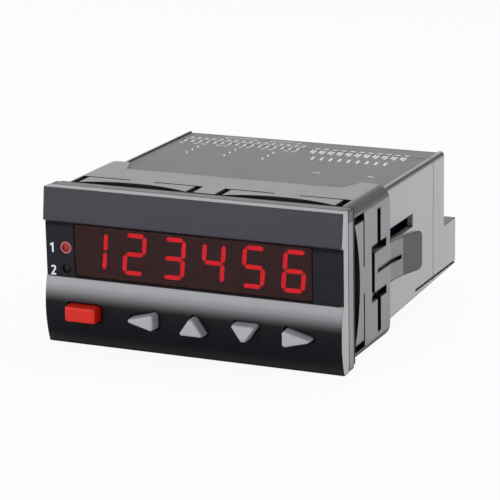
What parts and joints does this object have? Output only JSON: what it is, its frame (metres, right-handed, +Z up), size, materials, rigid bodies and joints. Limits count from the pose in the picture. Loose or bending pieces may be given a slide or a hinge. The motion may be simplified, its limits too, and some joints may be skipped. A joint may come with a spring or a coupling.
{
  "type": "panel counter",
  "caption": "Flush-mount electronic panel counter with a red digital display, front keys, a slide-on clamp frame and rear screw terminals.",
  "frame": {"origin": "bottom centre of the object's bounding box, level with the bezel's bottom edge", "axes": "+X to the right as the display is read, +Y from the front to the rear terminals, +Z up"},
  "size_m": [0.1028, 0.1082, 0.048],
  "materials": {
    "front_plastic": "satin dark grey moulding with a glossy key panel",
    "housing_plastic": "fine spark-eroded grain, dark grey",
    "frame_plastic": "smooth satin dark grey",
    "gasket_rubber": "matt black",
    "mat_rubber": "matt grey",
    "red_filter": "dark red tinted filter",
    "red_key_plastic": "satin signal red",
    "grey_key_plastic": "satin light grey",
    "red_led": "diffused red",
    "circuit_board": "green solder resist",
    "iron_core": "varnished laminations",
    "relay_plastic": "blue moulded case",
    "capacitor_sleeve": "black shrink sleeve",
    "connector_plastic": "black",
    "terminal_plastic": "dark grey",
    "digit_plastic": "black face with raised segments",
    "screw_steel": "zinc plated"
  },
  "bodies": {
    "housing": {"front_cap": "front_plastic", "housing_shell": "housing_plastic", "rear_cover": "housing_plastic", "panel_gasket": "gasket_rubber", "key_mat": "mat_rubber", "display_window": "red_filter", "status_led_1": "red_led", "status_led_2": "red_led", "display_board": "circuit_board", "main_board": "circuit_board", "relay_board": "circuit_board", "transformer": "iron_core", "relay_1": "relay_plastic", "relay_2": "relay_plastic", "capacitor_1": "capacitor_sleeve", "capacitor_2": "capacitor_sleeve", "board_header": "connector_plastic", "board_link": "connector_plastic", "lower_terminal_block": "terminal_plastic", "upper_terminal_block": "terminal_plastic", "digit_1": "digit_plastic", "digit_2": "digit_plastic", "digit_3": "digit_plastic", "digit_4": "digit_plastic", "digit_5": "digit_plastic", "digit_6": "digit_plastic", "lower_terminal_screw_1": "screw_steel", "lower_terminal_screw_2": "screw_steel", "lower_terminal_screw_3": "screw_steel", "lower_terminal_screw_4": "screw_steel", "lower_terminal_screw_5": "screw_steel", "lower_terminal_screw_6": "screw_steel", "lower_terminal_screw_7": "screw_steel", "lower_terminal_screw_8": "screw_steel", "lower_terminal_screw_9": "screw_steel", "lower_terminal_screw_10": "screw_steel", "lower_terminal_screw_11": "screw_steel", "upper_terminal_screw_1": "screw_steel", "upper_terminal_screw_2": "screw_steel", "upper_terminal_screw_3": "screw_steel", "upper_terminal_screw_4": "screw_steel", "upper_terminal_screw_5": "screw_steel", "upper_terminal_screw_6": "screw_steel", "upper_terminal_screw_7": "screw_steel"},
    "clamp_frame": {"clamp_frame": "frame_plastic"},
    "enter_key": {"enter_key": "red_key_plastic"},
    "left_key": {"left_key": "grey_key_plastic"},
    "up_key": {"up_key": "grey_key_plastic"},
    "down_key": {"down_key": "grey_key_plastic"},
    "right_key": {"right_key": "grey_key_plastic"}
  },
  "joints": [
    {"name": "clamp_frame_slide", "type": "slide", "parent": "housing", "child": "clamp_frame", "axis": [0, 1, 0], "range_m": [0, 0.095]},
    {"name": "enter_key_press", "type": "slide", "parent": "housing", "child": "enter_key", "axis": [0, 1, 0], "range_m": [0, 0.0006], "stiffness_N_per_m": 400, "springref_m": -0.001},
    {"name": "left_key_press", "type": "slide", "parent": "housing", "child": "left_key", "axis": [0, 1, 0], "range_m": [0, 0.0006], "stiffness_N_per_m": 400, "springref_m": -0.001},
    {"name": "up_key_press", "type": "slide", "parent": "housing", "child": "up_key", "axis": [0, 1, 0], "range_m": [0, 0.0006], "stiffness_N_per_m": 400, "springref_m": -0.001},
    {"name": "down_key_press", "type": "slide", "parent": "housing", "child": "down_key", "axis": [0, 1, 0], "range_m": [0, 0.0006], "stiffness_N_per_m": 400, "springref_m": -0.001},
    {"name": "right_key_press", "type": "slide", "parent": "housing", "child": "right_key", "axis": [0, 1, 0], "range_m": [0, 0.0006], "stiffness_N_per_m": 400, "springref_m": -0.001}
  ]
}
